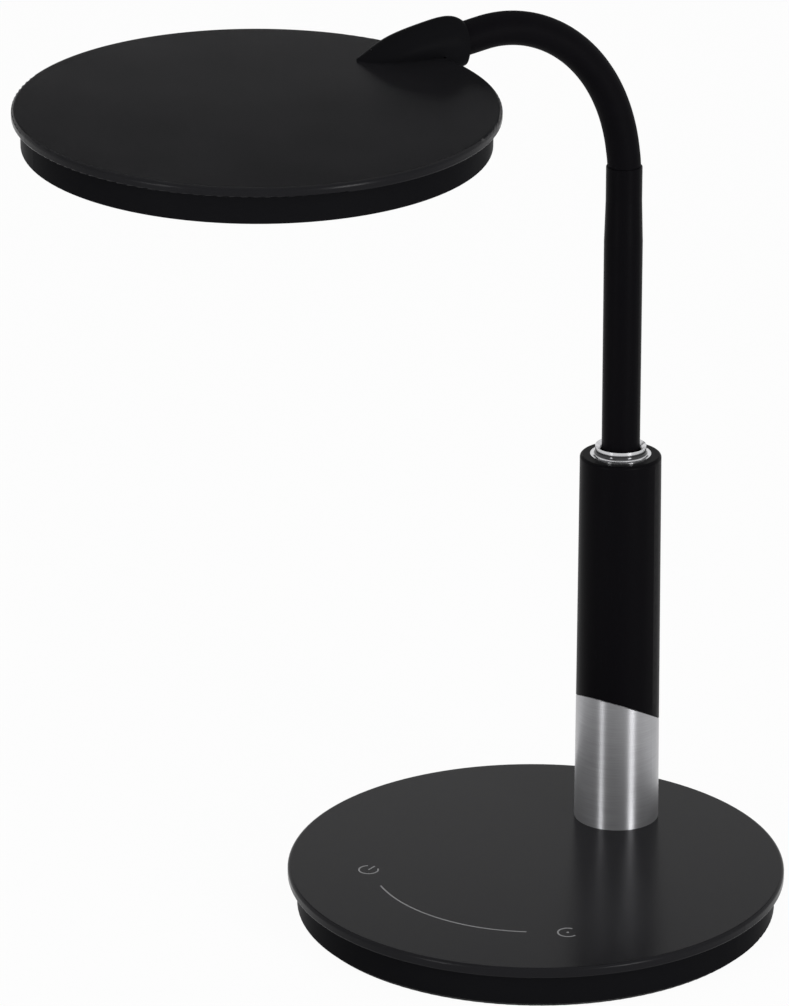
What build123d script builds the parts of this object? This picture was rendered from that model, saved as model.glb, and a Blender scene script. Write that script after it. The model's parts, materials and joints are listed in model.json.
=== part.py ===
from build123d import *
import math
import os

# Gooseneck desk lamp, in millimetres. +Z is up, the origin is the centre of the non-slip pad under the base,
# and the touch marks are at the front, towards -Y.

# ---------------------------------------------------------------- driving dimensions

# Base
pad_thickness = 1.5
pad_inset = 1.9
pad_edge_round = 0.5
plate_overhang = 3.7
drum_wall = 2.2
drum_edge_round = 0.8
tray_floor = 2.0
plate_radius = 100.0
inner_gap = 0.1
plate_rim = 4.0
plate_skin = 2.4
plate_edge_round = 1.3
plate_under_round = 0.6
spigot_wall = 1.6
spigot_depth = 3.6
seat_gap = 0.2
boss_inset = 6.1
boss_radius = 3.0
boss_count = 4
boss_start_angle = 20.0

# Ballast
ballast_gap = 3.0
ballast_thickness = 7.0
ballast_screw_inset = 22.0
ballast_screw_count = 3

# Screws
screw_clearance = 0.25
thread_gap = 0.05
small_shank_radius = 1.5
small_head_radius = 2.7
small_head_height = 1.2
base_screw_length = 9.0
head_screw_length = 5.5
recess_width = 0.8
recess_depth = 0.7
post_shank_radius = 2.0
post_head_radius = 3.5
post_head_height = 2.6
post_screw_length = 22.0
post_screw_ring_radius = 9.5
post_screw_count = 3
head_sink = 0.3

# Touch marks and touch electronics
front_angle = -90.0
mark_middle_angle = -91.4
icon_from_edge = 32.3
dimmer_from_edge = 33.6
mark_depth = 0.3
mark_stroke = 0.7
mark_gap = 0.03
icon_radius = 4.2
icon_half_angle = 46.5
power_opening = 80.0
tone_opening = 104.0
tone_opening_angle = 45.0
icon_dot_radius = 0.55
dimmer_half_angle = 32.7
touch_board_width = 20.0
touch_board_thickness = 1.6
touch_board_half_angle = 56.0
touch_pad_thickness = 0.3
touch_pad_radius = 6.0
touch_strip_width = 8.0

# Control board
board_length = 46.0
board_width = 28.0
board_thickness = 1.6
board_from_edge = 40.0
board_forward = 14.8
pocket_depth = 4.5
pocket_margin = 2.0
spacer_radius = 2.5
spacer_height = 2.0
spacer_inset = 4.0
choke_radius = 5.0
choke_height = 4.2
capacitor_radius = 3.0
capacitor_height = 5.0
chip_size = 7.0
chip_height = 1.0
part_spacing = 13.0
socket_length = 7.0
socket_width = 5.0
socket_height = 3.6
power_socket_shift = -6.0
lamp_socket_shift = 16.0
touch_socket_shift = -4.0
touch_socket_turn = 52.0

# Power inlet
jack_width = 9.0
jack_height = 10.6
jack_depth = 10.0
jack_nose_radius = 4.2
jack_nose_stand = 0.3
jack_bore_radius = 2.85
jack_bore_depth = 9.5
jack_pin_radius = 1.0
jack_pin_setback = 1.0

# Leads
lead_radius = 1.2
lead_gap = 0.15
lead_slot_room = 0.9
lead_hole_radius = 4.0
lead_bend_radius = 6.0
touch_lead_run = 3.0

# Post
post_from_edge = 41.3
post_height = 157.5
post_foot_radius = 17.3
post_top_radius = 16.4
post_cut_height = 48.0
post_cut_slope = 28.0
sleeve_wall = 1.4
sleeve_edge_bevel = 0.4
sleeve_gap = 0.1
tube_wall = 1.3
foot_plug_height = 13.0
top_wall = 2.5
top_edge_round = 1.2
top_plug_height = 12.0

# Chrome collar and swivel
collar_wall = 1.0
collar_shoulder = 1.25
flange_land = 0.5
flange_lip = 0.4
collar_height = 3.9
collar_bevel = 1.6
cove_radius = 1.5
collar_shank_length = 19.5
nut_height = 4.0
nut_width = 3.0
swivel_fit = 0.05
swivel_gap = 0.3
clip_height = 2.0
clip_width = 2.8
clip_drop = 3.0

# Stem
stem_radius = 7.7
stem_wall = 1.45
stem_taper = 0.5
stem_inset = 1.0
stem_taper_length = 17.0
stem_shoulder_length = 14.0
stem_edge_round = 0.3

# Neck
neck_heading = 31.6
neck_radius = 6.66
neck_bore_radius = 3.0
neck_start_height = 279.3
neck_link_length = 12.898
neck_segments = 8
neck_first_turn = 7.785
neck_turn_growth = 1.397
ball_gap = 0.3
socket_lip = 0.7

# Head
head_radius = 91.5
head_rim = 3.6
head_skin = 2.0
head_edge_round = 1.4
head_under_round = 0.6
head_overhang = 3.3
head_drum_wall = 2.0
head_height = 14.6
head_lip_width = 5.0
head_lip = 1.2
head_edge_ahead = 15.1
head_aside = 34.3
head_below = 6.3
head_lean_aside = 2.95
head_lean_ahead = 0.45
head_spigot_wall = 1.6
head_spigot_depth = 3.5
head_boss_radius = 3.2
head_boss_ring_radius = 66.0
head_boss_count = 4
head_boss_start_angle = 45.0

# Light unit
diffuser_thickness = 1.5
guide_thickness = 3.0
guide_gap = 0.2
reflector_thickness = 0.4
back_plate_thickness = 1.8
strip_thickness = 0.5
strip_width = 2.6
led_count = 48
led_length = 3.0
led_height = 1.6
led_thickness = 0.8
head_lead_ahead = 12.0
head_lead_rise = 2.0
head_lead_length = 24.0

# Neck connector: ellipses across the neck's line. Each lies so far in from the plate's edge. The first two
# are sized by their walls round the neck, the others by their height above the plate and half sizes.
connector_rear = -13.0
connector_rear_drop = 1.7
connector_rear_top_wall = 2.24
connector_rear_side_wall = 1.34
connector_hump = -6.5
connector_hump_drop = 0.7
connector_hump_top_wall = 3.54
connector_hump_side_wall = 1.94
connector_mid = 5.5
connector_mid_rise = 2.6
connector_mid_half_height = 8.6
connector_mid_half_width = 8.0
connector_fore = 14.5
connector_fore_rise = 1.2
connector_fore_half_height = 7.5
connector_fore_half_width = 7.7
connector_nose = 22.5
connector_nose_rise = 0.3
connector_nose_half_height = 4.8
connector_nose_half_width = 5.9
connector_tip = 30.6
connector_tip_half_size = 0.8
connector_fit = 0.05
connector_socket_depth = 11.0
connector_screw_first = 17.0
connector_screw_pitch = 6.5
connector_screw_count = 2

# ---------------------------------------------------------------- worked out from them

full_turn = 360.0
quarter_turn = 90.0
hexagon_sides = 6
post_y = plate_radius - post_from_edge
icon_ring_radius = plate_radius - icon_from_edge
dimmer_ring_radius = plate_radius - dimmer_from_edge
drum_radius = plate_radius - plate_overhang
pad_radius = drum_radius - pad_inset
drum_bore_radius = drum_radius - drum_wall
spigot_radius = drum_bore_radius - seat_gap
boss_ring_radius = drum_bore_radius - boss_inset
ballast_radius = boss_ring_radius - boss_radius - ballast_gap
ballast_screw_ring_radius = ballast_radius - ballast_screw_inset

drum_bottom = pad_thickness
floor_top = drum_bottom + tray_floor
ballast_top = floor_top + ballast_thickness
lead_z = ballast_top + lead_gap + lead_radius
touch_socket_bottom = ballast_top + inner_gap
touch_board_bottom = touch_socket_bottom + socket_height
touch_board_top = touch_board_bottom + touch_board_thickness
skin_under = touch_board_top + touch_pad_thickness
base_height = skin_under + plate_skin
rim_under = base_height - plate_rim

board_x = board_from_edge - ballast_radius
touch_socket_angle = mark_middle_angle - touch_socket_turn
touch_socket_y = dimmer_ring_radius * math.sin(math.radians(touch_socket_angle))
board_y = (post_y + touch_socket_y) / 2 - board_forward
pocket_floor = ballast_top - pocket_depth
board_bottom = pocket_floor + spacer_height
board_top = board_bottom + board_thickness

jack_front = math.sqrt(drum_bore_radius**2 - (jack_width / 2) ** 2) - seat_gap
jack_back = jack_front - jack_depth
jack_face = drum_radius + jack_nose_stand
jack_z = floor_top + jack_height / 2

post_head_seat = floor_top + post_head_height + head_sink
post_top = base_height + post_height
sleeve_bore_radius = post_top_radius - sleeve_wall
tube_radius = sleeve_bore_radius - sleeve_gap
tube_bore_radius = tube_radius - tube_wall
plug_radius = tube_bore_radius - sleeve_gap
tube_top = post_top - top_wall
collar_top = post_top + collar_height
collar_bottom = post_top - collar_shank_length
collar_bore_radius = stem_radius + swivel_gap
collar_shank_radius = collar_bore_radius + collar_wall
collar_radius = collar_shank_radius + collar_shoulder
flange_radius = collar_radius + cove_radius + flange_land
nut_radius = collar_shank_radius + nut_width
stem_bore_radius = stem_radius - stem_wall
stem_tube_radius = stem_bore_radius - thread_gap
clip_radius = stem_tube_radius + clip_width
stem_shoulder_radius = stem_radius - stem_taper
stem_bottom = post_top - stem_inset
bush_top = stem_bottom - swivel_gap
clip_top = collar_bottom - swivel_gap
stem_tube_bottom = clip_top - clip_height - clip_drop
neck_start = base_height + neck_start_height
stem_top = neck_start - socket_lip - ball_gap - stem_edge_round
stem_shoulder_bottom = stem_top - stem_shoulder_length

head_drum_radius = head_radius - head_overhang
head_bore_radius = head_drum_radius - head_drum_wall
head_spigot_radius = head_bore_radius - seat_gap
diffuser_bottom = head_lip - head_height
guide_bottom = diffuser_bottom + diffuser_thickness
reflector_bottom = guide_bottom + guide_thickness
back_plate_bottom = reflector_bottom + reflector_thickness
back_plate_top = back_plate_bottom + back_plate_thickness
light_radius = head_bore_radius - seat_gap
strip_radius = light_radius - seat_gap
led_ring_radius = strip_radius - strip_thickness
guide_radius = led_ring_radius - led_thickness - guide_gap
strip_z = guide_bottom + guide_thickness / 2
head_lead_z = (back_plate_top - head_skin) / 2

post_axis = Axis((0, post_y, 0), (0, 0, 1))

# The neck lies in one upright plane through the post's axis: local x runs out to the head, local y is up.
heading = Vector(-math.sin(math.radians(neck_heading)), -math.cos(math.radians(neck_heading)), 0)
up = Vector(0, 0, 1)
aside = up.cross(heading)
neck_plane = Plane(origin=(0, post_y, 0), x_dir=heading, z_dir=heading.cross(up))
neck_pivots = [neck_plane.from_local_coords((0, neck_start, 0))]
neck_directions = []
neck_angle = 0.0
for segment in range(neck_segments):
    neck_angle += neck_first_turn + neck_turn_growth * segment
    lean = math.radians(neck_angle)
    neck_directions.append(heading * math.sin(lean) + up * math.cos(lean))
    neck_pivots.append(neck_pivots[-1] + neck_directions[-1] * neck_link_length)

# The head's plane is its plate's top face, with local x along the neck's heading and 0 at the plate's centre.
edge_x = -math.sqrt(head_radius**2 - head_aside**2)
head_origin = neck_pivots[-1] + heading * (head_edge_ahead - edge_x) + aside * head_aside - up * head_below
head_axis = (
    up + aside * math.tan(math.radians(head_lean_aside)) + heading * math.tan(math.radians(head_lean_ahead))
).normalized()
head_plane = Plane(origin=head_origin, x_dir=aside.cross(head_axis), z_dir=head_axis)
neck_rise = head_plane.to_local_coords(neck_pivots[-1]).Z
connector_screw_start = edge_x + connector_screw_first
connector_screw_xs = [connector_screw_start + connector_screw_pitch * n for n in range(connector_screw_count)]


def on_ring(radius, angle):
    """The point at that angle on a circle about the base's centre."""
    return (radius * math.cos(math.radians(angle)), radius * math.sin(math.radians(angle)))


def at(z):
    """The level plane at that height, centred on the base."""
    return Plane.XY.offset(z)


def at_post(z):
    """The level plane at that height, centred on the post."""
    return Plane(origin=(0, post_y, z))


def disc(plane, radius, height):
    """A disc that stands on the plane."""
    with BuildSketch(plane) as outline:
        Circle(radius)
    extrude(outline.sketch, amount=height)


def ring(plane, radius, bore, height):
    """A flat or tall ring that stands on the plane."""
    with BuildSketch(plane) as outline:
        Circle(radius)
        Circle(bore, mode=Mode.SUBTRACT)
    extrude(outline.sketch, amount=height)


def cut_hole(plane, radius, height):
    """A round hole from the plane upwards."""
    with BuildSketch(plane) as outline:
        Circle(radius)
    extrude(outline.sketch, amount=height, mode=Mode.SUBTRACT)


def strip_along(radius, width, half_angle):
    """A flat strip along a circle about the base's centre, at the front."""
    with BuildLine() as route:
        CenterArc((0, 0), radius, mark_middle_angle - half_angle, 2 * half_angle)
    trace(route.line, line_width=width)


def power_mark_shape(stroke):
    """A ring open towards the back, with a short bar in the opening."""
    centre = Vector(*on_ring(icon_ring_radius, mark_middle_angle - icon_half_angle))
    middle_radius = icon_radius - stroke / 2
    with BuildLine() as route:
        CenterArc(centre, middle_radius, quarter_turn + power_opening / 2, full_turn - power_opening)
        Line(centre, centre + Vector(0, icon_radius))
    trace(route.line, line_width=stroke)


def tone_mark_shape(stroke):
    """A ring open at one side, with a dot at its centre."""
    centre = Vector(*on_ring(icon_ring_radius, mark_middle_angle + icon_half_angle))
    middle_radius = icon_radius - stroke / 2
    with BuildLine() as route:
        CenterArc(centre, middle_radius, tone_opening_angle + tone_opening / 2, full_turn - tone_opening)
    trace(route.line, line_width=stroke)
    with Locations(centre):
        Circle(icon_dot_radius)


def dimmer_mark_shape(stroke):
    """A thin arc between the two rings."""
    strip_along(dimmer_ring_radius, stroke, dimmer_half_angle)


def countersunk(wide_radius, shank_radius, length):
    """A countersunk screw's outer form, head down on the level plane."""
    with BuildSketch(Plane.XZ) as profile:
        with BuildLine():
            Polyline(
                (0, 0),
                (wide_radius, 0),
                (shank_radius, small_head_height),
                (shank_radius, length),
                (0, length),
                close=True,
            )
        make_face()
    revolve(profile.sketch, axis=Axis.Z)


def cross_recess():
    """A cross-shaped recess in a screw's head."""
    with BuildSketch() as outline:
        Rectangle(2 * small_shank_radius, recess_width)
        Rectangle(recess_width, 2 * small_shank_radius)
    extrude(outline.sketch, amount=recess_depth, mode=Mode.SUBTRACT)


def link_form(pivot, direction, length, has_ball):
    """A neck link: a tube with a hollow seat at its near end and, if it has one, a ball at the other."""
    seat_radius = neck_radius + ball_gap
    seat_mouth = math.sqrt(seat_radius**2 - neck_radius**2) + socket_lip
    mouth_radius = math.sqrt(seat_radius**2 - seat_mouth**2)
    seat_depth = math.sqrt(seat_radius**2 - neck_bore_radius**2)
    ball_reach = math.sqrt(neck_radius**2 - neck_bore_radius**2)
    far_end = length + ball_reach if has_ball else length
    with BuildSketch(Plane(origin=pivot, x_dir=direction, z_dir=neck_plane.z_dir)) as profile:
        with BuildLine():
            Line((seat_mouth, mouth_radius), (seat_mouth, neck_radius))
            Line((seat_mouth, neck_radius), (length, neck_radius))
            if has_ball:
                RadiusArc((length, neck_radius), (far_end, neck_bore_radius), neck_radius)
            else:
                Line((length, neck_radius), (length, neck_bore_radius))
            Line((far_end, neck_bore_radius), (seat_depth, neck_bore_radius))
            RadiusArc((seat_depth, neck_bore_radius), (seat_mouth, mouth_radius), -seat_radius)
        make_face()
    revolve(profile.sketch, axis=Axis(pivot, direction))


def across_neck(ahead, rise, half_height, half_width):
    """One ellipse across the connector, on a plane square to the neck's line in the head."""
    origin = head_plane.from_local_coords((edge_x + ahead, -head_aside, rise))
    with BuildSketch(Plane(origin=origin, x_dir=head_plane.y_dir, z_dir=head_plane.x_dir)) as outline:
        Ellipse(half_width, half_height)
    return outline.sketch.face()


def lead_along(*points, bend=lead_bend_radius):
    """A round lead through the points, with bent corners."""
    with BuildLine() as route:
        FilletPolyline(*points, radius=bend)
    with BuildSketch(Plane(origin=route.line @ 0, z_dir=route.line % 0)) as section:
        Circle(lead_radius)
    sweep(section.sketch, path=route.line)


os.makedirs("parts", exist_ok=True)

# ---------------------------------------------------------------- screws, made once and copied

with BuildPart() as base_screw:
    countersunk(small_head_radius, small_shank_radius, base_screw_length)
    cross_recess()

with BuildPart() as head_screw:
    countersunk(small_head_radius, small_shank_radius, head_screw_length)
    cross_recess()

countersink_radius = small_head_radius + thread_gap
clear_radius = small_shank_radius + screw_clearance
thread_radius = small_shank_radius + thread_gap

with BuildPart() as base_screw_hole:
    countersunk(countersink_radius, clear_radius, base_screw_length + seat_gap)

with BuildPart() as base_thread_hole:
    countersunk(thread_radius, thread_radius, base_screw_length + seat_gap)

with BuildPart() as head_screw_hole:
    countersunk(countersink_radius, clear_radius, head_screw_length + seat_gap)

with BuildPart() as head_thread_hole:
    countersunk(thread_radius, thread_radius, head_screw_length + seat_gap)

with BuildPart() as post_screw:
    disc(at(0), post_head_radius, post_head_height)
    disc(at(post_head_height), post_shank_radius, post_screw_length)
    with BuildSketch():
        RegularPolygon(post_shank_radius, hexagon_sides)
    extrude(amount=post_head_height / 2, mode=Mode.SUBTRACT)

# ---------------------------------------------------------------- base

with BuildPart() as foot_pad:
    disc(at(0), pad_radius, pad_thickness)
    fillet(foot_pad.edges().filter_by(GeomType.CIRCLE).sort_by(Axis.Z)[0], pad_edge_round)
foot_pad.part.label = "foot_pad"
export_step(foot_pad.part, "parts/foot_pad.step")

with BuildPart() as base_tray:
    disc(at(drum_bottom), drum_radius, rim_under - drum_bottom)
    fillet(base_tray.edges().filter_by(GeomType.CIRCLE).sort_by(Axis.Z)[0], drum_edge_round)
    cut_hole(at(floor_top), drum_bore_radius, rim_under - floor_top)
    with Locations((0, 0, drum_bottom)):
        with PolarLocations(boss_ring_radius, boss_count, start_angle=boss_start_angle):
            add(base_screw_hole.part, mode=Mode.SUBTRACT)
        with PolarLocations(ballast_screw_ring_radius, ballast_screw_count, start_angle=front_angle):
            add(base_screw_hole.part, mode=Mode.SUBTRACT)
    with BuildSketch(Plane(origin=(0, jack_front, jack_z), z_dir=(0, 1, 0))):
        Circle(jack_nose_radius + seat_gap)
    extrude(amount=drum_radius - jack_front, mode=Mode.SUBTRACT)
base_tray.part.label = "base_tray"
export_step(base_tray.part, "parts/base_tray.step")

with BuildPart() as ballast:
    disc(at(floor_top), ballast_radius, ballast_thickness)
    with BuildSketch(at(pocket_floor)):
        with Locations((board_x, board_y)):
            Rectangle(board_length + 2 * pocket_margin, board_width + 2 * pocket_margin)
    extrude(amount=pocket_depth, mode=Mode.SUBTRACT)
    with BuildSketch(at(floor_top)):
        with Locations((0, jack_back - seat_gap)):
            Rectangle(jack_width + 2 * seat_gap, ballast_radius, align=(Align.CENTER, Align.MIN))
    extrude(amount=ballast_thickness, mode=Mode.SUBTRACT)
    with Locations((0, 0, drum_bottom)):
        with PolarLocations(ballast_screw_ring_radius, ballast_screw_count, start_angle=front_angle):
            add(base_thread_hole.part, mode=Mode.SUBTRACT)
    with BuildSketch(at_post(floor_top)):
        with PolarLocations(post_screw_ring_radius, post_screw_count, start_angle=-front_angle):
            Circle(post_head_radius + screw_clearance)
    extrude(amount=post_head_seat - floor_top, mode=Mode.SUBTRACT)
    with BuildSketch(at_post(floor_top)):
        with PolarLocations(post_screw_ring_radius, post_screw_count, start_angle=-front_angle):
            Circle(post_shank_radius + screw_clearance)
    extrude(amount=ballast_thickness, mode=Mode.SUBTRACT)
ballast.part.label = "ballast"
export_step(ballast.part, "parts/ballast.step")

lamp_socket_x = board_x + lamp_socket_shift
power_socket_x = board_x + power_socket_shift
touch_socket_x = board_x + touch_socket_shift
board_back = board_y + board_width / 2
board_front = board_y - board_width / 2
lamp_lead_corner = board_back + lead_bend_radius
lead_slot_size = 2 * lead_radius + lead_slot_room
boss_to_lamp_lead = math.degrees(math.atan2(lamp_lead_corner - post_y, lamp_socket_x))

with BuildPart() as base_top:
    disc(at(rim_under), plate_radius, plate_rim)
    fillet(base_top.edges().filter_by(GeomType.CIRCLE).sort_by(Axis.Z)[-1], plate_edge_round)
    fillet(base_top.edges().filter_by(GeomType.CIRCLE).sort_by(Axis.Z)[0], plate_under_round)
    cut_hole(at(rim_under), drum_bore_radius, skin_under - rim_under)
    ring(at(skin_under), spigot_radius, spigot_radius - spigot_wall, -spigot_depth)
    with BuildSketch(at(skin_under - spigot_depth)):
        with Locations((0, spigot_radius)):
            Rectangle(jack_width + drum_wall, drum_wall + 2 * spigot_wall)
    extrude(amount=spigot_depth, mode=Mode.SUBTRACT)
    with BuildSketch(at(floor_top)):
        with PolarLocations(boss_ring_radius, boss_count, start_angle=boss_start_angle):
            Circle(boss_radius)
    extrude(amount=skin_under - floor_top)
    disc(at_post(ballast_top), tube_radius, skin_under - ballast_top)
    with Locations((0, 0, drum_bottom)):
        with PolarLocations(boss_ring_radius, boss_count, start_angle=boss_start_angle):
            add(base_thread_hole.part, mode=Mode.SUBTRACT)
    with BuildSketch(at_post(ballast_top)):
        Circle(lead_hole_radius)
        with PolarLocations(post_screw_ring_radius, post_screw_count, start_angle=-front_angle):
            Circle(post_shank_radius + screw_clearance)
    extrude(amount=base_height - ballast_top, mode=Mode.SUBTRACT)
    with BuildSketch(at_post(ballast_top)):
        with Locations(Location((0, 0, 0), (0, 0, boss_to_lamp_lead))):
            Rectangle(tube_radius + lead_radius, lead_slot_size, align=(Align.MIN, Align.CENTER))
    extrude(amount=lead_slot_size, mode=Mode.SUBTRACT)
    with BuildSketch(at(base_height)):
        power_mark_shape(mark_stroke)
        dimmer_mark_shape(mark_stroke)
        tone_mark_shape(mark_stroke)
    extrude(amount=-mark_depth, mode=Mode.SUBTRACT)
base_top.part.label = "base_top"
export_step(base_top.part, "parts/base_top.step")

for shape, name in (
    (power_mark_shape, "power_mark"),
    (dimmer_mark_shape, "dimmer_mark"),
    (tone_mark_shape, "tone_mark"),
):
    with BuildPart() as mark:
        with BuildSketch(at(base_height)):
            shape(mark_stroke - 2 * mark_gap)
        extrude(amount=-mark_depth)
    mark.part.label = name
    export_step(mark.part, f"parts/{name}.step")

with BuildPart() as base_screws:
    with Locations((0, 0, drum_bottom)):
        with PolarLocations(boss_ring_radius, boss_count, start_angle=boss_start_angle):
            add(base_screw.part)
base_screws.part.label = "base_screws"
export_step(base_screws.part, "parts/base_screws.step")

with BuildPart() as ballast_screws:
    with Locations((0, 0, drum_bottom)):
        with PolarLocations(ballast_screw_ring_radius, ballast_screw_count, start_angle=front_angle):
            add(base_screw.part)
ballast_screws.part.label = "ballast_screws"
export_step(ballast_screws.part, "parts/ballast_screws.step")

with BuildPart() as touch_board:
    with BuildSketch(at(touch_board_bottom)):
        strip_along(dimmer_ring_radius, touch_board_width, touch_board_half_angle)
    extrude(amount=touch_board_thickness)
touch_board.part.label = "touch_board"
export_step(touch_board.part, "parts/touch_board.step")

with BuildPart() as touch_pads:
    with BuildSketch(at(touch_board_top)):
        for side in (-1, 1):
            with Locations(on_ring(icon_ring_radius, mark_middle_angle + side * icon_half_angle)):
                Circle(touch_pad_radius)
        strip_along(dimmer_ring_radius, touch_strip_width, dimmer_half_angle)
    extrude(amount=touch_pad_thickness)
touch_pads.part.label = "touch_pads"
export_step(touch_pads.part, "parts/touch_pads.step")

with BuildPart() as board_spacers:
    with BuildSketch(at(pocket_floor)):
        with Locations((board_x, board_y)):
            with GridLocations(board_length - 2 * spacer_inset, board_width - 2 * spacer_inset, 2, 2):
                Circle(spacer_radius)
    extrude(amount=spacer_height)
board_spacers.part.label = "board_spacers"
export_step(board_spacers.part, "parts/board_spacers.step")

with BuildPart() as control_board:
    with BuildSketch(at(board_bottom)):
        with Locations((board_x, board_y)):
            Rectangle(board_length, board_width)
    extrude(amount=board_thickness)
control_board.part.label = "control_board"
export_step(control_board.part, "parts/control_board.step")

with BuildPart() as board_parts:
    with BuildSketch(at(board_top)):
        with Locations((board_x - part_spacing, board_y)):
            Circle(choke_radius)
    extrude(amount=choke_height)
    with BuildSketch(at(board_top)):
        with Locations((board_x, board_y)):
            Circle(capacitor_radius)
    extrude(amount=capacitor_height)
    with BuildSketch(at(board_top)):
        with Locations((board_x + part_spacing, board_y - spacer_inset)):
            Rectangle(chip_size, chip_size)
    extrude(amount=chip_height)
board_parts.part.label = "board_parts"
export_step(board_parts.part, "parts/board_parts.step")

touch_socket_place = on_ring(dimmer_ring_radius, touch_socket_angle)
with BuildPart() as wire_sockets:
    with BuildSketch(at(board_top)):
        with Locations(
            (power_socket_x, board_back - socket_width / 2),
            (lamp_socket_x, board_back - socket_width / 2),
            (touch_socket_x, board_front + socket_width / 2),
        ):
            Rectangle(socket_length, socket_width)
    extrude(amount=socket_height)
    with BuildSketch(at(touch_socket_bottom)):
        with Locations(touch_socket_place):
            Rectangle(socket_length, socket_width)
    extrude(amount=socket_height)
wire_sockets.part.label = "wire_sockets"
export_step(wire_sockets.part, "parts/wire_sockets.step")

with BuildPart() as power_jack:
    with BuildSketch(Plane(origin=(0, jack_front, jack_z), x_dir=(1, 0, 0), z_dir=(0, -1, 0))):
        Rectangle(jack_width, jack_height)
    extrude(amount=jack_depth)
    with BuildSketch(Plane(origin=(0, jack_front, jack_z), z_dir=(0, 1, 0))):
        Circle(jack_nose_radius)
    extrude(amount=jack_face - jack_front)
    with BuildSketch(Plane(origin=(0, jack_face, jack_z), z_dir=(0, -1, 0))):
        Circle(jack_bore_radius)
    extrude(amount=jack_bore_depth, mode=Mode.SUBTRACT)
    with BuildSketch(Plane(origin=(0, jack_face - jack_pin_setback, jack_z), z_dir=(0, -1, 0))):
        Circle(jack_pin_radius)
    extrude(amount=jack_bore_depth)
power_jack.part.label = "power_jack"
export_step(power_jack.part, "parts/power_jack.step")

# The three leads lie level on the ballast.
lead_side = tube_radius + 3 * lead_radius
with BuildPart() as jack_lead:
    lead_along(
        (0, jack_back, lead_z),
        (0, (jack_back + post_y + lead_side) / 2, lead_z),
        (-lead_side, post_y + tube_radius, lead_z),
        (power_socket_x, board_back + lead_bend_radius, lead_z),
        (power_socket_x, board_back, lead_z),
        bend=2 * lead_radius,
    )
jack_lead.part.label = "jack_lead"
export_step(jack_lead.part, "parts/jack_lead.step")

with BuildPart() as lamp_lead:
    lead_along(
        (lamp_socket_x, board_back, lead_z),
        (lamp_socket_x, lamp_lead_corner, lead_z),
        (0, post_y, lead_z),
        (0, post_y, stem_tube_bottom - swivel_gap),
        bend=[2 * lead_radius, lead_bend_radius],
    )
lamp_lead.part.label = "lamp_lead"
export_step(lamp_lead.part, "parts/lamp_lead.step")

with BuildPart() as touch_lead:
    lead_along(
        (touch_socket_x, board_front, lead_z),
        (touch_socket_x, board_front - touch_lead_run, lead_z),
        (touch_socket_place[0], touch_socket_place[1] + socket_width / 2 + touch_lead_run, lead_z),
        (touch_socket_place[0], touch_socket_place[1] + socket_width / 2, lead_z),
        bend=lead_radius,
    )
touch_lead.part.label = "touch_lead"
export_step(touch_lead.part, "parts/touch_lead.step")

# ---------------------------------------------------------------- post

cut_plane = Plane(
    origin=(0, post_y, base_height + post_cut_height),
    z_dir=(0, math.sin(math.radians(post_cut_slope)), math.cos(math.radians(post_cut_slope))),
)


def post_cone():
    """The post's outer form, a little narrower at its top, with a straight bore."""
    with BuildSketch(Plane(origin=(0, post_y, 0), x_dir=(1, 0, 0), z_dir=(0, -1, 0))) as profile:
        with BuildLine():
            Polyline(
                (sleeve_bore_radius, base_height),
                (post_foot_radius, base_height),
                (post_top_radius, post_top),
                (sleeve_bore_radius, post_top),
                close=True,
            )
        make_face()
    revolve(profile.sketch, axis=post_axis)


with BuildPart() as steel_sleeve:
    post_cone()
    split(bisect_by=cut_plane, keep=Keep.BOTTOM)
    chamfer(steel_sleeve.faces().sort_by(Axis.Z)[-1].outer_wire().edges(), sleeve_edge_bevel)
steel_sleeve.part.label = "steel_sleeve"
export_step(steel_sleeve.part, "parts/steel_sleeve.step")

with BuildPart() as black_sleeve:
    post_cone()
    split(bisect_by=cut_plane, keep=Keep.TOP)
    disc(at_post(tube_top), post_top_radius - sleeve_gap, top_wall)
    fillet(black_sleeve.edges().filter_by(GeomType.CIRCLE).group_by(Axis.Z)[-1], top_edge_round)
    cut_hole(at_post(tube_top), collar_shank_radius + seat_gap, top_wall)
black_sleeve.part.label = "black_sleeve"
export_step(black_sleeve.part, "parts/black_sleeve.step")

with BuildPart() as post_tube:
    ring(at_post(base_height), tube_radius, tube_bore_radius, tube_top - base_height)
post_tube.part.label = "post_tube"
export_step(post_tube.part, "parts/post_tube.step")

with BuildPart() as post_foot:
    disc(at_post(base_height), plug_radius, foot_plug_height)
    cut_hole(at_post(base_height), lead_hole_radius, foot_plug_height)
    with BuildSketch(at_post(base_height)):
        with PolarLocations(post_screw_ring_radius, post_screw_count, start_angle=-front_angle):
            Circle(post_shank_radius + thread_gap)
    extrude(amount=foot_plug_height, mode=Mode.SUBTRACT)
post_foot.part.label = "post_foot"
export_step(post_foot.part, "parts/post_foot.step")

with BuildPart() as post_screws:
    with Locations((0, post_y, post_head_seat - post_head_height)):
        with PolarLocations(post_screw_ring_radius, post_screw_count, start_angle=-front_angle):
            add(post_screw.part)
post_screws.part.label = "post_screws"
export_step(post_screws.part, "parts/post_screws.step")

with BuildPart() as top_plug:
    ring(at_post(tube_top), plug_radius, collar_shank_radius + thread_gap, -top_plug_height)
top_plug.part.label = "top_plug"
export_step(top_plug.part, "parts/top_plug.step")

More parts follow.
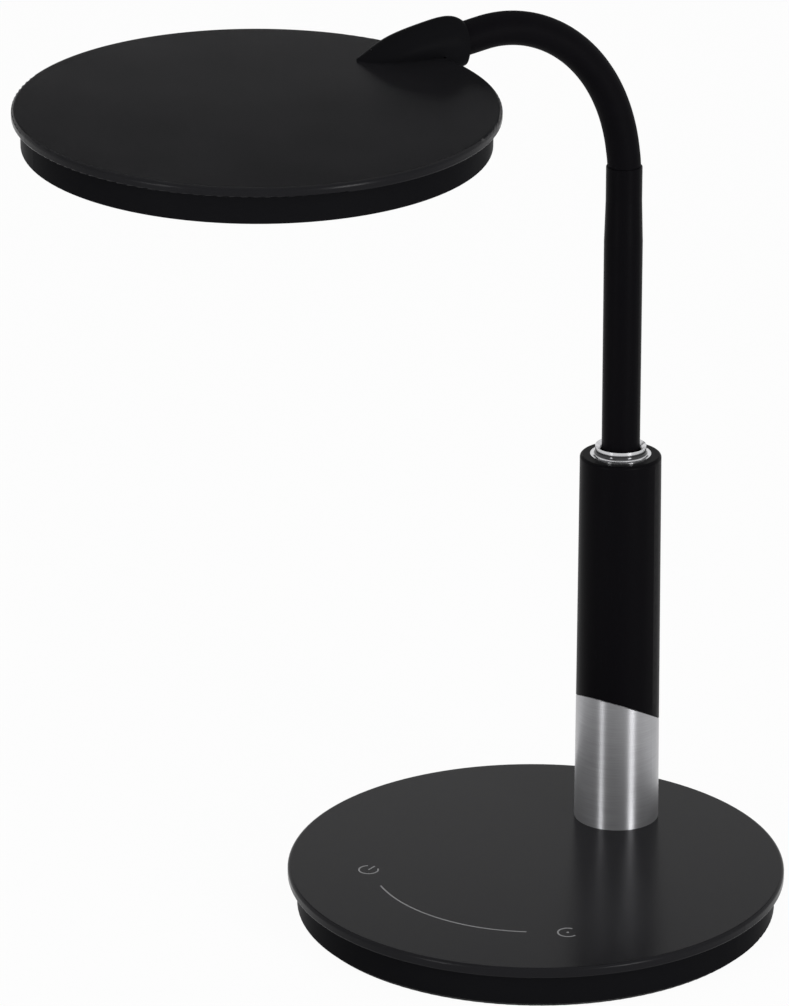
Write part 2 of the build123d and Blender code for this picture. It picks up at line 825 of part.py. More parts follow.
with BuildPart() as chrome_collar:
    with BuildSketch(Plane(origin=(0, post_y, 0), x_dir=(1, 0, 0), z_dir=(0, -1, 0))):
        with BuildLine():
            Polyline(
                (collar_bore_radius, collar_bottom),
                (collar_shank_radius, collar_bottom),
                (collar_shank_radius, post_top),
                (flange_radius, post_top),
                (flange_radius, post_top + flange_lip),
                (collar_radius + cove_radius, post_top + flange_lip),
            )
            RadiusArc(
                (collar_radius + cove_radius, post_top + flange_lip),
                (collar_radius, post_top + flange_lip + cove_radius),
                cove_radius,
            )
            Polyline(
                (collar_radius, post_top + flange_lip + cove_radius),
                (collar_radius, collar_top),
                (collar_bore_radius, collar_top - collar_bevel),
                (collar_bore_radius, collar_bottom),
            )
        make_face()
    revolve(axis=post_axis)
chrome_collar.part.label = "chrome_collar"
export_step(chrome_collar.part, "parts/chrome_collar.step")

with BuildPart() as collar_nut:
    with BuildSketch(at_post(tube_top - top_plug_height)):
        RegularPolygon(nut_radius, hexagon_sides)
        Circle(collar_shank_radius + thread_gap, mode=Mode.SUBTRACT)
    extrude(amount=-nut_height)
collar_nut.part.label = "collar_nut"
export_step(collar_nut.part, "parts/collar_nut.step")

with BuildPart() as swivel_bush:
    ring(
        at_post(collar_bottom),
        collar_bore_radius - thread_gap,
        stem_tube_radius + swivel_fit,
        bush_top - collar_bottom,
    )
swivel_bush.part.label = "swivel_bush"
export_step(swivel_bush.part, "parts/swivel_bush.step")

# ---------------------------------------------------------------- stem, which turns in the collar

with BuildPart() as stem_sleeve:
    with BuildSketch(Plane(origin=(0, post_y, 0), x_dir=(1, 0, 0), z_dir=(0, -1, 0))):
        with BuildLine():
            Polyline(
                (stem_bore_radius, stem_bottom),
                (stem_radius, stem_bottom),
                (stem_radius, stem_shoulder_bottom - stem_taper_length),
                (stem_shoulder_radius, stem_shoulder_bottom),
                (stem_shoulder_radius, stem_top),
                (stem_bore_radius, stem_top),
                close=True,
            )
        make_face()
    revolve(axis=post_axis)
    top_edges = stem_sleeve.edges().filter_by(GeomType.CIRCLE).group_by(Axis.Z)[-1]
    fillet(top_edges.sort_by(SortBy.RADIUS)[-1], stem_edge_round)
stem_sleeve.part.label = "stem_sleeve"
export_step(stem_sleeve.part, "parts/stem_sleeve.step")

with BuildPart() as stem_tube:
    disc(at_post(stem_tube_bottom), stem_tube_radius, neck_start - stem_tube_bottom)
    with Locations(neck_pivots[0]):
        Sphere(stem_tube_radius, arc_size1=0, align=(Align.CENTER, Align.CENTER, Align.MIN))
    cut_hole(at_post(stem_tube_bottom), neck_bore_radius, neck_start + 2 * neck_radius - stem_tube_bottom)
stem_tube.part.label = "stem_tube"
export_step(stem_tube.part, "parts/stem_tube.step")

with BuildPart() as stem_clip:
    ring(at_post(clip_top), clip_radius, stem_tube_radius + thread_gap, -clip_height)
stem_clip.part.label = "stem_clip"
export_step(stem_clip.part, "parts/stem_clip.step")

with BuildPart() as stem_lead:
    disc(at_post(stem_tube_bottom), lead_radius, neck_start - stem_tube_bottom)
stem_lead.part.label = "stem_lead"
export_step(stem_lead.part, "parts/stem_lead.step")

# ---------------------------------------------------------------- neck links

for segment in range(neck_segments - 1):
    with BuildPart() as neck_link:
        link_form(neck_pivots[segment], neck_directions[segment], neck_link_length, True)
    neck_link.part.label = f"neck_link_{segment + 1}"
    export_step(neck_link.part, f"parts/neck_link_{segment + 1}.step")

rear_gap = head_edge_ahead + connector_rear
end_reach = neck_link_length + rear_gap + connector_socket_depth
with BuildPart() as neck_end:
    link_form(neck_pivots[-2], neck_directions[-1], end_reach, False)
neck_end.part.label = "neck_end"
export_step(neck_end.part, "parts/neck_end.step")

# ---------------------------------------------------------------- head

head_lead_x = edge_x + head_lead_ahead
connector_sections = [
    across_neck(
        connector_rear,
        neck_rise - connector_rear_drop,
        neck_radius + connector_rear_top_wall,
        neck_radius + connector_rear_side_wall,
    ),
    across_neck(
        connector_hump,
        neck_rise - connector_hump_drop,
        neck_radius + connector_hump_top_wall,
        neck_radius + connector_hump_side_wall,
    ),
    across_neck(connector_mid, connector_mid_rise, connector_mid_half_height, connector_mid_half_width),
    across_neck(connector_fore, connector_fore_rise, connector_fore_half_height, connector_fore_half_width),
    across_neck(connector_nose, connector_nose_rise, connector_nose_half_height, connector_nose_half_width),
    across_neck(connector_tip, 0, connector_tip_half_size, connector_tip_half_size),
]

with BuildPart() as neck_connector:
    loft(connector_sections)
    with BuildSketch(head_plane):
        Circle(head_radius + seat_gap)
    extrude(amount=-head_height, mode=Mode.SUBTRACT)
    with BuildSketch(Plane(origin=neck_pivots[-2], z_dir=neck_directions[-1])):
        Circle(neck_radius + connector_fit)
    extrude(amount=end_reach, mode=Mode.SUBTRACT)
    with BuildSketch(Plane(origin=neck_pivots[-2], z_dir=neck_directions[-1])):
        Circle(lead_radius + connector_fit)
    extrude(amount=end_reach + head_lead_ahead, mode=Mode.SUBTRACT)
    with BuildSketch(head_plane):
        with Locations((head_lead_x, -head_aside)):
            Circle(lead_radius + seat_gap)
    extrude(amount=head_lead_rise + lead_radius, mode=Mode.SUBTRACT)
    with BuildSketch(head_plane):
        for screw_x in connector_screw_xs:
            with Locations((screw_x, -head_aside)):
                Circle(small_shank_radius + thread_gap)
    extrude(amount=head_screw_length - head_skin + seat_gap, mode=Mode.SUBTRACT)
neck_connector.part.label = "neck_connector"
export_step(neck_connector.part, "parts/neck_connector.step")

with BuildPart() as head_top:
    disc(head_plane, head_radius, -head_rim)
    top_edge = head_top.edges().filter_by(GeomType.CIRCLE).sort_by(Axis(head_origin, head_plane.z_dir))
    fillet(top_edge[-1], head_edge_round)
    low_edge = head_top.edges().filter_by(GeomType.CIRCLE).sort_by(Axis(head_origin, head_plane.z_dir))
    fillet(low_edge[0], head_under_round)
    cut_hole(head_plane.offset(-head_rim), head_bore_radius, head_rim - head_skin)
    ring(
        head_plane.offset(-head_skin),
        head_spigot_radius,
        head_spigot_radius - head_spigot_wall,
        -head_spigot_depth,
    )
    with BuildSketch(head_plane.offset(-head_skin)):
        with PolarLocations(head_boss_ring_radius, head_boss_count, start_angle=head_boss_start_angle):
            Circle(head_boss_radius)
    extrude(amount=back_plate_top + head_skin)
    with Locations(head_plane.offset(back_plate_bottom)):
        with PolarLocations(head_boss_ring_radius, head_boss_count, start_angle=head_boss_start_angle):
            add(head_thread_hole.part, mode=Mode.SUBTRACT)
    with Locations(head_plane.offset(-head_skin)):
        for screw_x in connector_screw_xs:
            with Locations((screw_x, -head_aside)):
                add(head_screw_hole.part, mode=Mode.SUBTRACT)
    with BuildSketch(head_plane.offset(-head_skin)):
        with Locations((head_lead_x, -head_aside)):
            Circle(lead_radius + seat_gap)
    extrude(amount=head_skin, mode=Mode.SUBTRACT)
head_top.part.label = "head_top"
export_step(head_top.part, "parts/head_top.step")

with BuildPart() as head_drum:
    disc(head_plane.offset(-head_height), head_drum_radius, head_height - head_rim)
    cut_hole(head_plane.offset(diffuser_bottom), head_bore_radius, head_height)
    cut_hole(head_plane.offset(-head_height), head_bore_radius - head_lip_width, head_height)
head_drum.part.label = "head_drum"
export_step(head_drum.part, "parts/head_drum.step")

with BuildPart() as diffuser:
    disc(head_plane.offset(diffuser_bottom), light_radius, diffuser_thickness)
diffuser.part.label = "diffuser"
export_step(diffuser.part, "parts/diffuser.step")

with BuildPart() as light_guide:
    disc(head_plane.offset(guide_bottom), guide_radius, guide_thickness)
light_guide.part.label = "light_guide"
export_step(light_guide.part, "parts/light_guide.step")

with BuildPart() as led_strip:
    ring(head_plane.offset(strip_z - strip_width / 2), strip_radius, led_ring_radius, strip_width)
led_strip.part.label = "led_strip"
export_step(led_strip.part, "parts/led_strip.step")

with BuildPart() as leds:
    with BuildSketch(head_plane.offset(strip_z - led_height / 2)):
        with PolarLocations(led_ring_radius - led_thickness / 2 - guide_gap / 2, led_count):
            Rectangle(led_thickness, led_length)
    extrude(amount=led_height)
leds.part.label = "leds"
export_step(leds.part, "parts/leds.step")

with BuildPart() as reflector:
    disc(head_plane.offset(reflector_bottom), guide_radius, reflector_thickness)
reflector.part.label = "reflector"
export_step(reflector.part, "parts/reflector.step")

with BuildPart() as back_plate:
    disc(head_plane.offset(back_plate_bottom), light_radius, back_plate_thickness)
    with Locations(head_plane.offset(back_plate_bottom)):
        with PolarLocations(head_boss_ring_radius, head_boss_count, start_angle=head_boss_start_angle):
            add(head_screw_hole.part, mode=Mode.SUBTRACT)
back_plate.part.label = "back_plate"
export_step(back_plate.part, "parts/back_plate.step")

with BuildPart() as head_screws:
    with Locations(head_plane.offset(back_plate_bottom)):
        with PolarLocations(head_boss_ring_radius, head_boss_count, start_angle=head_boss_start_angle):
            add(head_screw.part)
head_screws.part.label = "head_screws"
export_step(head_screws.part, "parts/head_screws.step")

with BuildPart() as connector_screws:
    with Locations(head_plane.offset(-head_skin)):
        for screw_x in connector_screw_xs:
            with Locations((screw_x, -head_aside)):
                add(head_screw.part)
connector_screws.part.label = "connector_screws"
export_step(connector_screws.part, "parts/connector_screws.step")

with BuildPart() as head_lead:
    lead_along(
        head_plane.from_local_coords((head_lead_x, -head_aside, head_lead_rise)),
        head_plane.from_local_coords((head_lead_x, -head_aside, head_lead_z)),
        head_plane.from_local_coords((head_lead_x + head_lead_length, -head_aside, head_lead_z)),
        bend=2 * lead_radius,
    )
head_lead.part.label = "head_lead"
export_step(head_lead.part, "parts/head_lead.step")

with BuildPart() as head_socket:
    with BuildSketch(head_plane.offset(back_plate_top)):
        with Locations((head_lead_x + head_lead_length + socket_width / 2, -head_aside)):
            Rectangle(socket_width, socket_length)
    extrude(amount=socket_height)
head_socket.part.label = "head_socket"
export_step(head_socket.part, "parts/head_socket.step")
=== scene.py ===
"""Gooseneck desk lamp: its finishes, its flexible neck, the studio and the camera. Lengths are in metres."""

import json
import math

import bpy
from mathutils import Matrix, Vector


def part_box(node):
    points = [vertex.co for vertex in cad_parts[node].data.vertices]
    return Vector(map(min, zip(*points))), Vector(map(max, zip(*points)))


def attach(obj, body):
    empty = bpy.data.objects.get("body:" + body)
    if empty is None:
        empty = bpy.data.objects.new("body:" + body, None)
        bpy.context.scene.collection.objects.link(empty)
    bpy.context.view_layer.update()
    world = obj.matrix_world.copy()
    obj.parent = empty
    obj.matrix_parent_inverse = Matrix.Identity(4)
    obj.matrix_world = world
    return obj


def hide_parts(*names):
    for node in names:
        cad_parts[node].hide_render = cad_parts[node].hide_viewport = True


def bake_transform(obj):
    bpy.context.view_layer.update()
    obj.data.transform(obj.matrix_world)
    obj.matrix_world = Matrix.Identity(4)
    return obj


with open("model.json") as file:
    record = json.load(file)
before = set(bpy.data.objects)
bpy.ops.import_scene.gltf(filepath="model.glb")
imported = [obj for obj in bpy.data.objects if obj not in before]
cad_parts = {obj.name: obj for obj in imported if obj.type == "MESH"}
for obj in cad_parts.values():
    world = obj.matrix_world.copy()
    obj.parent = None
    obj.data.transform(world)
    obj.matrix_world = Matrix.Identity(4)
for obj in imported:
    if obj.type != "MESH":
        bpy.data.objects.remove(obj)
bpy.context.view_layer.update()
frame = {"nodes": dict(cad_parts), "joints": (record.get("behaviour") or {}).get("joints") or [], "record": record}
nodes = frame["nodes"]
joints = {joint["name"]: joint for joint in frame["joints"]}

MM = 0.001
WHITE = (1, 1, 1, 1)

# ---------------------------------------------------------------- shader maths


class Wire:
    """A socket of a material's nodes, or the result of sums on sockets and numbers."""

    def __init__(self, finish, socket):
        self.finish = finish
        self.socket = socket

    def maths(self, operation, first, second):
        """The result of a sum on two values, of which one may be a number."""
        return self.finish.node("ShaderNodeMath", {"operation": operation}, {0: first, 1: second})

    def __add__(self, other):
        return self.maths("ADD", self, other)

    def __sub__(self, other):
        return self.maths("SUBTRACT", self, other)

    def __mul__(self, other):
        return self.maths("MULTIPLY", self, other)

    def __rsub__(self, other):
        return self.maths("SUBTRACT", other, self)

    __radd__ = __add__
    __rmul__ = __mul__


class Finish:
    """A material or a world in the making. Every node of it comes from one method."""

    def __init__(self, name, kind="materials"):
        self.owner = getattr(bpy.data, kind).new(name)
        self.owner.use_nodes = True
        self.tree = self.owner.node_tree
        self.tree.nodes.clear()

    def node(self, kind, settings=None, values=None, output=0):
        """Makes a node, gives it its settings, then the values or links of its sockets."""
        made = self.tree.nodes.new(kind)
        for name, value in (settings or {}).items():
            setattr(made, name, value)
        for name, value in (values or {}).items():
            if isinstance(value, Wire):
                self.tree.links.new(value.socket, made.inputs[name])
            else:
                made.inputs[name].default_value = value
        return Wire(self, made.outputs[output]) if made.outputs else None

    def place(self, stretch=(1, 1, 1)):
        """The point on the surface, in the object's own frame, stretched along its axes."""
        point = self.node("ShaderNodeTexCoord", output="Object")
        return self.node("ShaderNodeMapping", {}, {"Vector": point, "Scale": stretch})

    def noise(self, size, detail=2.0, stretch=(1, 1, 1)):
        """Uneven grain from 0 to 1, whose lumps are about as large as size."""
        values = {"Vector": self.place(stretch), "Scale": 1 / size, "Detail": detail}
        return self.node("ShaderNodeTexNoise", {}, values)

    def mix(self, share, low, high):
        """A colour between two colours."""
        values = {0: share, 6: (*low, 1), 7: (*high, 1)}
        return self.node("ShaderNodeMix", {"data_type": "RGBA"}, values, output=2)

    def bump(self, height, depth):
        """A surface that rises by up to depth where the height is 1."""
        return self.node("ShaderNodeBump", {}, {"Height": height, "Distance": depth})

    def rise(self, value, low, high):
        """0 up to the value low, 1 from the value high on, and a ramp between them."""
        return self.node("ShaderNodeMapRange", {}, {"Value": value, "From Min": low, "From Max": high})

    def seen(self):
        """1 where the place is looked at, also in a mirror or through glass, and 0 for the light it gives."""
        rays = ("Is Camera Ray", "Is Glossy Ray", "Is Transmission Ray")
        camera, mirror, glass = [self.node("ShaderNodeLightPath", output=ray) for ray in rays]
        return camera + mirror + glass

    def surface(self, **values):
        """The material's surface. A value's name is its socket's, with _ for a space. A tuple is a colour."""
        sockets = {name.replace("_", " "): value for name, value in values.items()}
        for name, value in sockets.items():
            if isinstance(value, tuple):
                sockets[name] = (*value, 1)
        shader = self.node("ShaderNodeBsdfPrincipled", {}, sockets)
        self.node("ShaderNodeOutputMaterial", {}, {"Surface": shader})
        return self.owner


# ---------------------------------------------------------------- finishes

PATCH_GRAINS = 60            # how many grains wide a patch of uneven gloss is on moulded plastic
STREAK_PULL = 0.85           # how far brushed and plated metal draws a highlight out
STREAK_TURN = 0.25           # by how much of a turn that streak is turned
HAIR_WIDTH = 0.35 * MM
HAIR_STRETCH = (0.03, 0.03, 1)      # long on the level, fine up and down
BAND_EDGE = 0.3 * MM


def scaled(colour, factor):
    """A colour made darker or lighter, but not lighter than white."""
    return [min(1.0, factor * part) for part in colour]


def moulded(name, colour, roughness, grain=0.6 * MM, depth=0.02 * MM, level=0.5):
    """Moulded plastic with a fine spark-eroded grain and a slightly uneven gloss."""
    finish = Finish(name)
    fine = finish.noise(grain, detail=3.0)
    wide = finish.noise(PATCH_GRAINS * grain)
    return finish.surface(
        Base_Color=finish.mix(wide, colour, scaled(colour, 1.35)),
        Roughness=roughness - 0.03 + 0.06 * wide + 0.04 * fine,
        Specular_IOR_Level=level,
        Normal=finish.bump(fine, depth),
    )


def powder_coat(name, colour, roughness, level):
    """Matt powder coat with an orange-peel skin and tiny specks."""
    finish = Finish(name)
    peel = finish.noise(1.1 * MM)
    speck = finish.noise(0.35 * MM, detail=1.0)
    return finish.surface(
        Base_Color=finish.mix(speck, colour, scaled(colour, 1.5)),
        Roughness=roughness + 0.08 * (peel - 0.5),
        Specular_IOR_Level=level,
        Normal=finish.bump(peel, 0.02 * MM),
    )


def silicone(name, colour, roughness, level):
    """Matt silicone sleeve with a soft bloom of dust and a fine grain."""
    finish = Finish(name)
    bloom = finish.noise(9 * MM, detail=4.0)
    fine = finish.noise(0.5 * MM)
    return finish.surface(
        Base_Color=finish.mix(bloom, colour, scaled(colour, 1.8)),
        Roughness=roughness + 0.12 * bloom,
        Specular_IOR_Level=level,
        Normal=finish.bump(fine, 0.015 * MM),
    )


def brushed(name, colour, roughness):
    """Metal brushed round its height: level hair lines that change its colour, its gloss and its surface."""
    finish = Finish(name)
    lines = finish.noise(HAIR_WIDTH, detail=3.0, stretch=HAIR_STRETCH)
    wide = finish.noise(25 * MM)
    return finish.surface(
        Base_Color=finish.mix(lines, scaled(colour, 0.85), scaled(colour, 1.25)),
        Metallic=1.0,
        Roughness=roughness + 0.1 * (lines - 0.5) + 0.06 * (wide - 0.5),
        Anisotropic=STREAK_PULL,
        Anisotropic_Rotation=STREAK_TURN,
        Normal=finish.bump(lines, 0.004 * MM),
    )


def plated(name, colour, shade, roughness, low, high):
    """Bright plating with the faintest haze, and a band of painted shade from the height low to the height high: a
    dark colour that stands in for the dark reflections in a recess.
    """
    finish = Finish(name)
    haze = finish.noise(6 * MM, detail=3.0)
    height = finish.node("ShaderNodeSeparateXYZ", {}, {"Vector": finish.place()}, output="Z")
    # Painted shade: the band turns the plating's colour dark where the recess lies.
    band = finish.rise(height, low, low + BAND_EDGE) - finish.rise(height, high - BAND_EDGE, high)
    return finish.surface(
        Base_Color=finish.mix(band, colour, shade),
        Metallic=1.0,
        Roughness=roughness + 0.06 * haze,
        Anisotropic=STREAK_PULL,
        Anisotropic_Rotation=STREAK_TURN,
    )


def plain_metal(name, colour, roughness):
    """Unpolished metal, such as zinc plate, sheet or foil, with uneven gloss."""
    finish = Finish(name)
    mottle = finish.noise(1.5 * MM, detail=4.0)
    return finish.surface(
        Base_Color=finish.mix(mottle, scaled(colour, 0.8), scaled(colour, 1.2)),
        Metallic=1.0,
        Roughness=roughness + 0.15 * (mottle - 0.5),
        Normal=finish.bump(mottle, 0.01 * MM),
    )


def cast_iron(name, iron, rust):
    """Rough sand-cast iron with a breath of rust."""
    finish = Finish(name)
    sand = finish.noise(1.4 * MM, detail=6.0)
    patches = finish.noise(18 * MM, detail=3.0)
    return finish.surface(
        Base_Color=finish.mix(patches, iron, rust),
        Metallic=0.6,
        Roughness=0.6 + 0.2 * sand,
        Normal=finish.bump(sand, 0.2 * MM),
    )


def pad_foam(name, pore, wall):
    """Closed-cell foam with small pores."""
    finish = Finish(name)
    point = finish.place()
    pores = finish.node("ShaderNodeTexVoronoi", {}, {"Vector": point, "Scale": 1 / (1.1 * MM)})
    return finish.surface(
        Base_Color=finish.mix(pores, pore, wall),
        Roughness=0.85,
        Specular_IOR_Level=0.25,
        Normal=finish.bump(pores, 0.12 * MM),
    )


def circuit_board(name, copper, gap):
    """Green laminate with the faint squares of its copper under the lacquer."""
    finish = Finish(name)
    values = {
        "Vector": finish.place(),
        "Scale": 1 / (2.5 * MM),
        "Color1": (*copper[0], 1),
        "Color2": (*copper[1], 1),
        "Mortar": (*gap, 1),
    }
    squares = finish.node("ShaderNodeTexBrick", {}, values)
    weave = finish.noise(0.7 * MM)
    return finish.surface(
        Base_Color=squares,
        Roughness=0.3 + 0.1 * weave,
        Normal=finish.bump(weave, 0.01 * MM),
    )


def opal(name, low, high):
    """Opal acrylic that scatters the light, with a fine satin face."""
    finish = Finish(name)
    fine = finish.noise(0.4 * MM)
    cloud = finish.noise(30 * MM)
    return finish.surface(
        Base_Color=finish.mix(cloud, low, high),
        Roughness=0.4 + 0.1 * fine,
        Subsurface_Weight=0.15,
        Subsurface_Scale=2 * MM,
        Normal=finish.bump(fine, 0.008 * MM),
    )


SATIN_BLACK = (0.0075, 0.0074, 0.0085)
FINE_BLACK = (0.005, 0.005, 0.0057)
DEEP_BLACK = (0.0022, 0.002, 0.0026)
CHROME = (0.6, 0.6, 0.615)
# Painted shade: the dark colour of the collar's cove, which stands in for the reflection of black parts.
COVE_SHADE = (0.05, 0.05, 0.052)
COPPER_GREENS = ((0.02, 0.12, 0.05), (0.03, 0.19, 0.08))

# The band of painted shade covers most of the collar's cove and the foot of the wall above it, where the chrome
# would mirror the black parts around it.
COLLAR_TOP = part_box("chrome_collar")[1][2]
BAND_FOOT = COLLAR_TOP - 3.3 * MM
BAND_TOP = COLLAR_TOP - 1.1 * MM

finishes = {
    "black_plastic": moulded("satin_black", SATIN_BLACK, 0.2, level=0.056),
    "black_gloss": moulded("fine_black", FINE_BLACK, 0.34, grain=1.2 * MM, depth=0.004 * MM, level=0.004),
    "black_paint": powder_coat("powder_black", DEEP_BLACK, 0.36, level=0.02),
    "brushed_steel": brushed("brushed_steel", (0.33, 0.33, 0.342), 0.33),
    "bright_chrome": plated("bright_chrome", CHROME, COVE_SHADE, 0.16, BAND_FOOT, BAND_TOP),
    "steel": plain_metal("zinc_plate", (0.5, 0.51, 0.52), 0.35),
    "neck_sleeve": silicone("neck_silicone", DEEP_BLACK, 0.5, level=0.02),
    "pad_foam": pad_foam("pad_foam", (0.012, 0.012, 0.012), (0.035, 0.035, 0.036)),
    "ballast_iron": cast_iron("ballast_iron", (0.09, 0.09, 0.092), (0.16, 0.13, 0.11)),
    "board": circuit_board("circuit_board", COPPER_GREENS, (0.04, 0.26, 0.11)),
    "mark_print": moulded("pale_print", (0.22, 0.22, 0.225), 0.5, grain=0.4 * MM),
    "copper": plain_metal("copper_foil", (0.75, 0.36, 0.2), 0.3),
    "component": moulded("component_black", (0.02, 0.02, 0.02), 0.35),
    "socket_plastic": moulded("socket_nylon", (0.62, 0.6, 0.54), 0.4),
    "lead_jacket": moulded("lead_vinyl", (0.3, 0.02, 0.02), 0.38),
    "nylon": moulded("bush_nylon", (0.6, 0.6, 0.57), 0.42),
    "head_aluminium": plain_metal("mill_aluminium", (0.72, 0.73, 0.74), 0.4),
    "opal": opal("opal_acrylic", (0.8, 0.8, 0.78), (0.86, 0.86, 0.85)),
    "clear_guide": moulded("light_guide_acrylic", (0.75, 0.79, 0.79), 0.12, depth=0.001 * MM),
    "white_film": moulded("reflector_film", (0.85, 0.85, 0.85), 0.55),
    "led_body": moulded("phosphor_yellow", (0.75, 0.62, 0.2), 0.35, grain=0.2 * MM),
}

for entry in frame["record"]["subparts"]:
    node = nodes[entry["node"]]
    node.data.materials.clear()
    node.data.materials.append(finishes[entry["material_slot"]])

# ---------------------------------------------------------------- the flexible neck

NECK_RADIUS = 6.66 * MM
NECK_SIDES = 48
NECK_STEPS = 14              # steps along each bent piece of the hose
NECK_WELD = 0.002 * MM
NECK_EDGE = math.radians(35)
STEM_OVERLAP = 4 * MM
TAIL_LENGTH = 20 * MM
LINKS = 7

up = Vector((0, 0, 1))
pivots = []
for number in range(1, 5):
    pivots.append(Vector(joints[f"neck_bend_{number}"]["pos_m"]))
    pivots.append(Vector(joints[f"neck_lean_{number}"]["pos_m"]))
curl_axis = Vector(joints["neck_bend_1"]["axis"])
half_link = (pivots[1] - pivots[0]).length / 2

# The hose's direction up to each pivot, and past the last, where it turns on as the turns before it grow.
directions = [up] + [(pivots[k + 1] - pivots[k]).normalized() for k in range(LINKS)]
lean_5, lean_6, lean_7 = [directions[k].angle(up) for k in (5, 6, 7)]
directions.append(directions[LINKS].copy())
directions[-1].rotate(Matrix.Rotation(2 * (lean_7 - lean_6) - (lean_6 - lean_5), 3, curl_axis))

middles = [(pivots[k] + pivots[k + 1]) / 2 for k in range(LINKS)]
middles.append(pivots[LINKS] + directions[-1] * half_link)
links = [f"link_{number}" for number in range(1, LINKS + 1)]
replaced = [f"neck_{link}" for link in links] + ["neck_end"]


def deselect():
    """Leaves no object selected."""
    bpy.ops.object.select_all(action="DESELECT")


def tube(name, start, direction, pieces):
    """A round hose: a circle at start, carried along straight runs and turns about a centre."""
    deselect()
    facing = direction.to_track_quat("Z", "Y").to_euler()
    bpy.ops.mesh.primitive_circle_add(
        vertices=NECK_SIDES, radius=NECK_RADIUS, fill_type="NGON", location=start, rotation=facing
    )
    made = bpy.context.object
    made.name = name
    made.data.name = name
    bpy.ops.object.transform_apply(location=True, rotation=True, scale=True)
    bpy.ops.object.mode_set(mode="EDIT")
    bpy.ops.mesh.select_all(action="SELECT")
    for run, turn, centre in pieces:
        if turn:
            bpy.ops.mesh.spin(steps=NECK_STEPS, angle=-turn, center=centre, axis=curl_axis)
        else:
            bpy.ops.mesh.extrude_region_move(TRANSFORM_OT_translate={"value": run})
    bpy.ops.mesh.select_all(action="SELECT")
    bpy.ops.mesh.remove_doubles(threshold=NECK_WELD)
    bpy.ops.mesh.normals_make_consistent(inside=False)
    bpy.ops.object.mode_set(mode="OBJECT")
    bpy.ops.object.shade_smooth_by_angle(angle=NECK_EDGE)
    made.data.materials.append(finishes["neck_sleeve"])
    return made


for k, link in enumerate(replaced):
    reach = STEM_OVERLAP if k == 0 else half_link
    turn = directions[k].angle(directions[k + 1])
    start = pivots[k] - directions[k] * reach
    across = directions[k].cross(curl_axis).normalized()
    if across.dot(directions[k + 1]) < 0:
        across.negate()
    centre = start + across * (reach / math.tan(turn / 2))
    pieces = [(None, turn, centre)]
    if k == 0:
        pieces.append((directions[1] * (half_link - STEM_OVERLAP), 0, None))
    piece = tube(f"neck_sleeve_{k + 1}", start, directions[k], pieces)
    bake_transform(piece)
    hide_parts(link)

tail = tube("neck_sleeve_end", middles[-1], directions[-1], [(directions[-1] * TAIL_LENGTH, 0, None)])
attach(tail, "head")

# ---------------------------------------------------------------- studio

STRIP_AIM = (0, 0.05, 0.2)
PAPER_RADIUS = 3.4
PAPER_SIDES = 96
PAPER_DROP = 0.2 * MM
PAPER_GLOW = 0.96
PAPER_TONES = ((0.79, 0.79, 0.79), (0.82, 0.82, 0.82))
CLOTH_TONES = ((0.006, 0.006, 0.006), (0.01, 0.01, 0.01))
FLAG_REACH = 1.25            # how far behind the object the black card stands
FLAG_WIDTH = 1.5
FLAG_FOOT = 0.74
FLAG_TOP = 1.35
ROOM_LEVEL = 0.5

CAMERA_PLACE = Vector((1.0762, -1.5827, 0.8886))
CAMERA_AHEAD = Vector((-0.5864, 0.8100, 0))      # the level direction in which the camera looks
CAMERA_HEADING = math.atan2(CAMERA_AHEAD.y, CAMERA_AHEAD.x) - math.pi / 2
CAMERA_DIP = math.radians(20.507)
CAMERA_ROLL = math.radians(-0.196)
CAMERA_LENS = 186.08
CAMERA_SENSOR = 36
CAMERA_RANGE = 20


def lamp(name, place, aim, size, power):
    """A soft lamp at place, aimed at a point."""
    deselect()
    facing = (Vector(aim) - Vector(place)).to_track_quat("-Z", "Y").to_euler()
    bpy.ops.object.light_add(type="AREA", location=place, rotation=facing)
    made = bpy.context.object
    made.name = name
    made.data.shape = "RECTANGLE"
    made.data.size, made.data.size_y = size
    made.data.energy = power
    made.visible_camera = False


lamp("left_strip", (-0.25, -1.75, 0.42), STRIP_AIM, (0.26, 0.8), 9)
lamp("right_strip", (1.72, -0.46, 0.42), STRIP_AIM, (0.4, 0.8), 17)
lamp("top_lamp", (0.0, -0.2, 2.3), (0, 0, 0), (2.2, 2.2), 5)

# The floor: paper that takes the object's shadow and is nearly white where it is looked at.
deselect()
bpy.ops.mesh.primitive_circle_add(
    vertices=PAPER_SIDES, radius=PAPER_RADIUS, fill_type="NGON", location=(0, 0, -PAPER_DROP)
)
floor = bpy.context.object
floor.name = "studio_paper"
bpy.ops.object.transform_apply(location=True, rotation=True, scale=True)

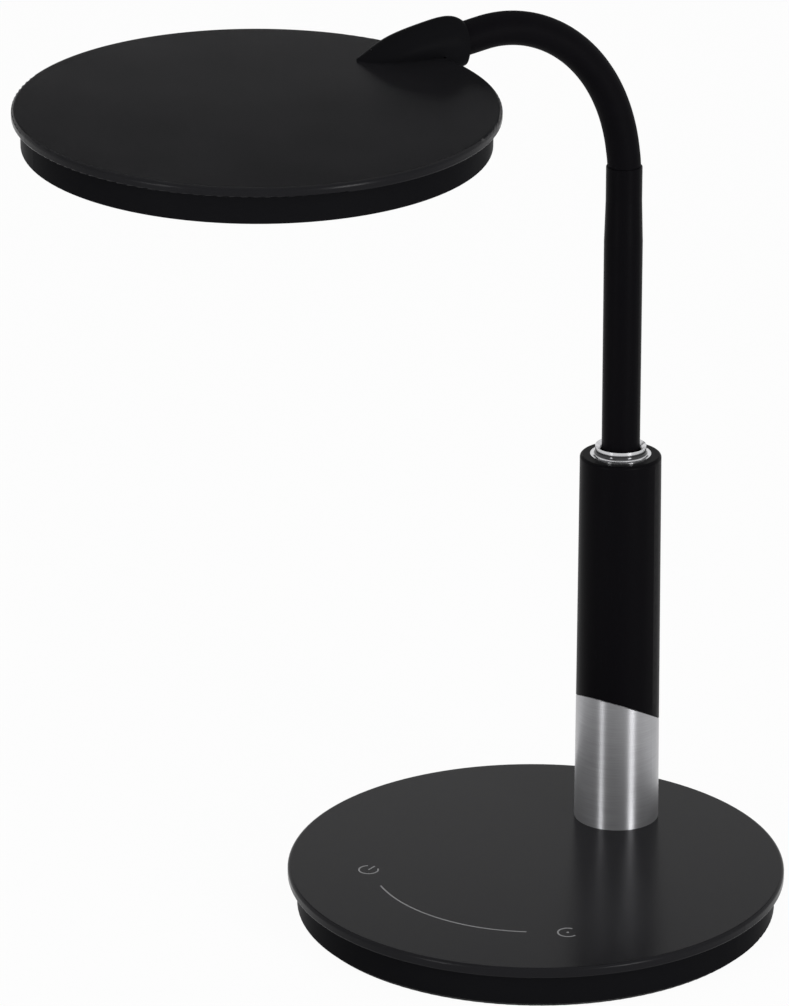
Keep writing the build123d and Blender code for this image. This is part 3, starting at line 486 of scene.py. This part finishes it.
paper = Finish("studio_paper")
fibre = paper.noise(4 * MM, detail=3.0)
matt = paper.node("ShaderNodeBsdfDiffuse", {}, {"Color": paper.mix(fibre, *PAPER_TONES)}, output="BSDF")
glow = paper.node("ShaderNodeEmission", {}, {"Color": WHITE, "Strength": 1.0}, output="Emission")
cover = paper.node("ShaderNodeMixShader", {}, {0: paper.seen() * PAPER_GLOW, 1: matt, 2: glow})
paper.node("ShaderNodeOutputMaterial", {}, {"Surface": cover})
floor.data.materials.append(paper.owner)

# A black card behind the head keeps the white room out of the head's top, as seen from the camera.
deselect()
flag_centre = CAMERA_AHEAD * FLAG_REACH + up * (FLAG_FOOT + FLAG_TOP) / 2
bpy.ops.mesh.primitive_plane_add(size=1, location=flag_centre, rotation=(math.pi / 2, 0, CAMERA_HEADING))
flag = bpy.context.object
flag.name = "studio_flag"
flag.scale = (FLAG_WIDTH, FLAG_TOP - FLAG_FOOT, 1)
bpy.ops.object.transform_apply(location=True, rotation=True, scale=True)
flag.visible_camera = False

cloth = Finish("flag_cloth")
nap = cloth.noise(30 * MM)
flag.data.materials.append(cloth.surface(Base_Color=cloth.mix(nap, *CLOTH_TONES), Roughness=0.9))

# The room is white where it is looked at, and lights the object at ROOM_LEVEL.
room = Finish("studio_room", "worlds")
strength = room.seen() * (1 - ROOM_LEVEL) + ROOM_LEVEL
sky = room.node("ShaderNodeBackground", {}, {"Color": WHITE, "Strength": strength})
room.node("ShaderNodeOutputWorld", {}, {"Surface": sky})
bpy.context.scene.world = room.owner

deselect()
bpy.ops.object.camera_add(location=CAMERA_PLACE)
camera = bpy.context.object
camera.name = "studio_camera"
heading = Matrix.Rotation(CAMERA_HEADING, 4, "Z")
dip = Matrix.Rotation(math.pi / 2 - CAMERA_DIP, 4, "X")
roll = Matrix.Rotation(CAMERA_ROLL, 4, "Z")
camera.matrix_world = Matrix.Translation(CAMERA_PLACE) @ heading @ dip @ roll
camera.data.lens = CAMERA_LENS
camera.data.sensor_width = CAMERA_SENSOR
camera.data.clip_end = CAMERA_RANGE
bpy.context.scene.camera = camera
bpy.context.scene.view_settings.view_transform = "Standard"
